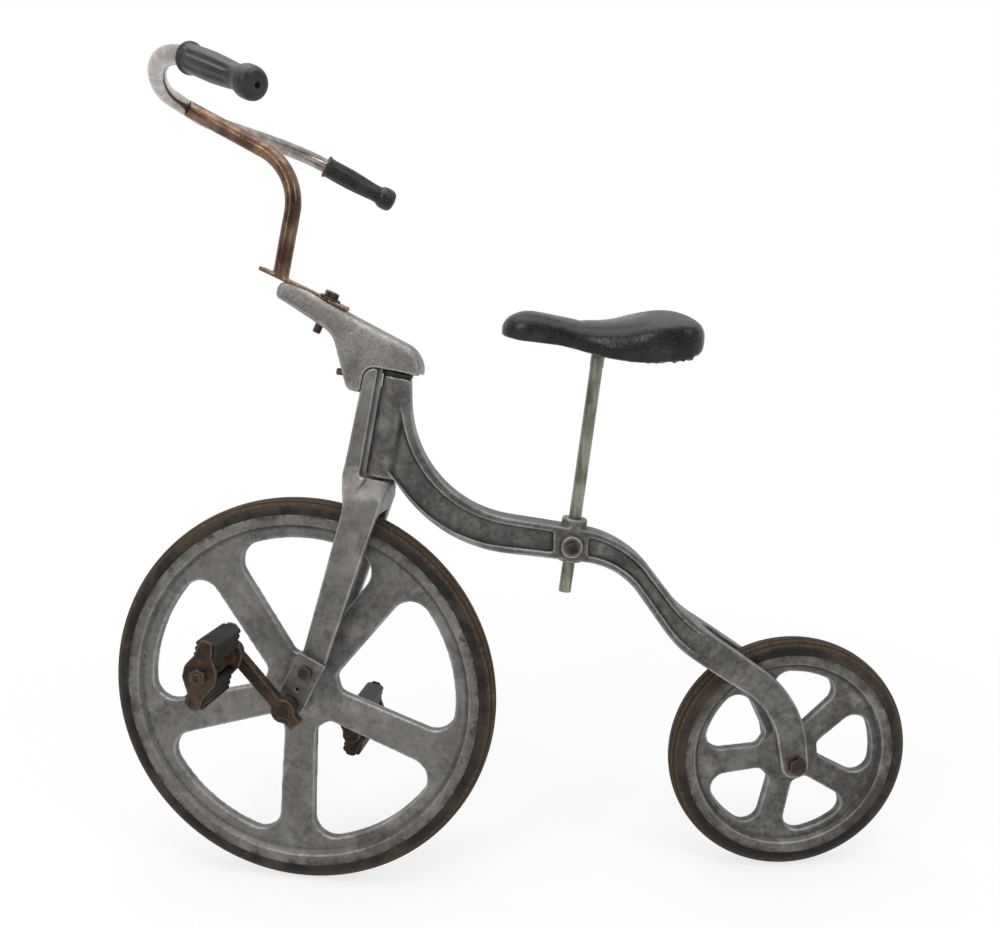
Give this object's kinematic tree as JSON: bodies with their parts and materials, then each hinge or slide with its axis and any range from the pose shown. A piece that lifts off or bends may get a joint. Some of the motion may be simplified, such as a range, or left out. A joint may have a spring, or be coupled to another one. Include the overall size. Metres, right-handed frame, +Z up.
{
  "type": "child's pavement bicycle",
  "caption": "Child's pavement bicycle with a curved cast aluminium spine, cast spoked wheels with solid tyres, pedals on the front hub, raised handlebar and padded saddle.",
  "frame": {"origin": "on top of the saddle over the seat post, where the rider sits", "axes": "+X forward, +Y to the rider's left, +Z up"},
  "size_m": [0.842, 0.4466, 0.8051],
  "materials": {
    "cast_aluminium": "dull as-cast, stained",
    "solid_tyre": "matt, dusty brown tread",
    "worn_chrome": "pitted",
    "grip_rubber": "satin",
    "pedal_rubber": "matt",
    "saddle_cover": "glossy, cracked",
    "dull_steel": "dull",
    "rusty_steel": "brown rust"
  },
  "bodies": {
    "frame": {"frame_spine": "cast_aluminium", "seat_post": "dull_steel", "seat_post_screw": "rusty_steel", "saddle": "saddle_cover", "saddle_socket": "dull_steel", "rear_axle_bolt": "rusty_steel", "rear_axle_nut": "rusty_steel"},
    "steering": {"fork": "cast_aluminium", "steering_pin": "dull_steel", "neck": "cast_aluminium", "neck_bolt": "rusty_steel", "handlebar_stem": "rusty_steel", "stem_clamp_bolt": "rusty_steel", "stem_clamp_washer": "rusty_steel", "handlebar": "worn_chrome", "grip_left": "grip_rubber", "grip_right": "grip_rubber", "bearing_cap_left": "cast_aluminium", "bearing_cap_right": "cast_aluminium", "bearing_cap_bolt_left": "rusty_steel", "bearing_cap_bolt_right": "rusty_steel"},
    "front_wheel_set": {"front_wheel": "cast_aluminium", "front_tyre": "solid_tyre", "crank_axle": "rusty_steel", "crank_left": "rusty_steel", "crank_right": "rusty_steel", "spindle_nut_left": "rusty_steel", "spindle_nut_right": "rusty_steel"},
    "rear_wheel_set": {"rear_wheel": "cast_aluminium", "rear_tyre": "solid_tyre"},
    "pedal_left": {"pedal_cage_left": "rusty_steel", "pedal_rubber_upper_left": "pedal_rubber", "pedal_rubber_lower_left": "pedal_rubber"},
    "pedal_right": {"pedal_cage_right": "rusty_steel", "pedal_rubber_upper_right": "pedal_rubber", "pedal_rubber_lower_right": "pedal_rubber"}
  },
  "joints": [
    {"name": "steering", "type": "hinge", "parent": "frame", "child": "steering", "pos_m": [0.21707, 0, -0.15539], "axis": [-0.184, 0, 0.9829], "range_deg": [-63, 87]},
    {"name": "front_wheel_spin", "type": "hinge", "parent": "steering", "child": "front_wheel_set", "pos_m": [0.2997, -0.00836, -0.38315], "axis": [0.2044, 0.9781, 0.0382], "continuous": true},
    {"name": "rear_wheel_spin", "type": "hinge", "parent": "frame", "child": "rear_wheel_set", "pos_m": [-0.21443, 0, -0.45799], "axis": [0, 1, 0], "continuous": true},
    {"name": "pedal_left_spin", "type": "hinge", "parent": "front_wheel_set", "child": "pedal_left", "pos_m": [0.36966, 0.07686, -0.32173], "axis": [0.2044, 0.9781, 0.0382], "continuous": true},
    {"name": "pedal_right_spin", "type": "hinge", "parent": "front_wheel_set", "child": "pedal_right", "pos_m": [0.24497, -0.09634, -0.45521], "axis": [0.2044, 0.9781, 0.0382], "continuous": true}
  ]
}
